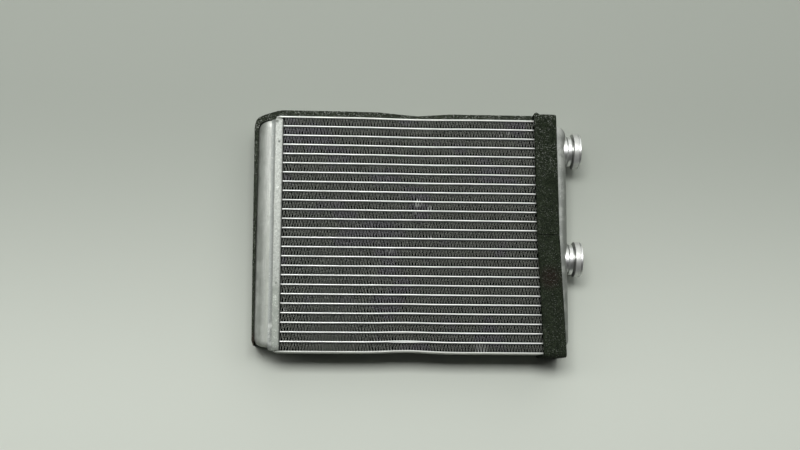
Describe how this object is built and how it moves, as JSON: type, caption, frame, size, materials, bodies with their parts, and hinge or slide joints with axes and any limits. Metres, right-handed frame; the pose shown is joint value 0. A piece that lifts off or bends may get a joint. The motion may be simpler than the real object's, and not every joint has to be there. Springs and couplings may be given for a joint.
{
  "type": "heater core",
  "caption": "Brazed aluminium heater core: flat tubes and folded fins between pressed end tanks, flanged coolant stubs at one end, black foam seals.",
  "frame": {"origin": "centre of the bounding box's base, on the surface that the core lies on", "axes": "+X from the plain tank to the tank with the stubs, +Y along the tanks to the end with the foam strip, +Z the way air passes through the core"},
  "size_m": [0.2476, 0.1852, 0.038],
  "materials": {
    "tube_aluminium": "satin rolled sheet, brazed",
    "fin_aluminium": "dull rolled foil",
    "plate_aluminium": "dull pressed sheet with brazing stains",
    "tank_aluminium": "dull pressed sheet with brazing stains",
    "turned_aluminium": "smooth turned",
    "black_foam": "matt open-cell foam"
  },
  "bodies": {
    "root": {"fin_02": "fin_aluminium", "fin_03": "fin_aluminium", "fin_04": "fin_aluminium", "fin_05": "fin_aluminium", "fin_06": "fin_aluminium", "fin_07": "fin_aluminium", "fin_08": "fin_aluminium", "fin_09": "fin_aluminium", "fin_10": "fin_aluminium", "fin_11": "fin_aluminium", "fin_12": "fin_aluminium", "fin_13": "fin_aluminium", "fin_14": "fin_aluminium", "fin_15": "fin_aluminium", "fin_16": "fin_aluminium", "fin_17": "fin_aluminium", "fin_18": "fin_aluminium", "fin_19": "fin_aluminium", "fin_20": "fin_aluminium", "fin_21": "fin_aluminium", "fin_22": "fin_aluminium", "fin_23": "fin_aluminium", "fin_24": "fin_aluminium", "foam_collar_lower": "black_foam", "foam_collar_upper": "black_foam", "foam_edge_strip": "black_foam", "header_plate_left": "plate_aluminium", "header_plate_right": "plate_aluminium", "partition_plate": "plate_aluminium", "side_plate_lower": "plate_aluminium", "side_plate_upper": "plate_aluminium", "stub_lower": "turned_aluminium", "stub_upper": "turned_aluminium", "tank_left": "tank_aluminium", "tank_right": "tank_aluminium", "tube_01": "tube_aluminium", "tube_02": "tube_aluminium", "tube_03": "tube_aluminium", "tube_04": "tube_aluminium", "tube_05": "tube_aluminium", "tube_06": "tube_aluminium", "tube_07": "tube_aluminium", "tube_08": "tube_aluminium", "tube_09": "tube_aluminium", "tube_10": "tube_aluminium", "tube_11": "tube_aluminium", "tube_12": "tube_aluminium", "tube_13": "tube_aluminium", "tube_14": "tube_aluminium", "tube_15": "tube_aluminium", "tube_16": "tube_aluminium", "tube_17": "tube_aluminium", "tube_18": "tube_aluminium", "tube_19": "tube_aluminium", "tube_20": "tube_aluminium", "tube_21": "tube_aluminium", "tube_22": "tube_aluminium", "tube_23": "tube_aluminium", "tube_24": "tube_aluminium"}
  },
  "joints": []
}
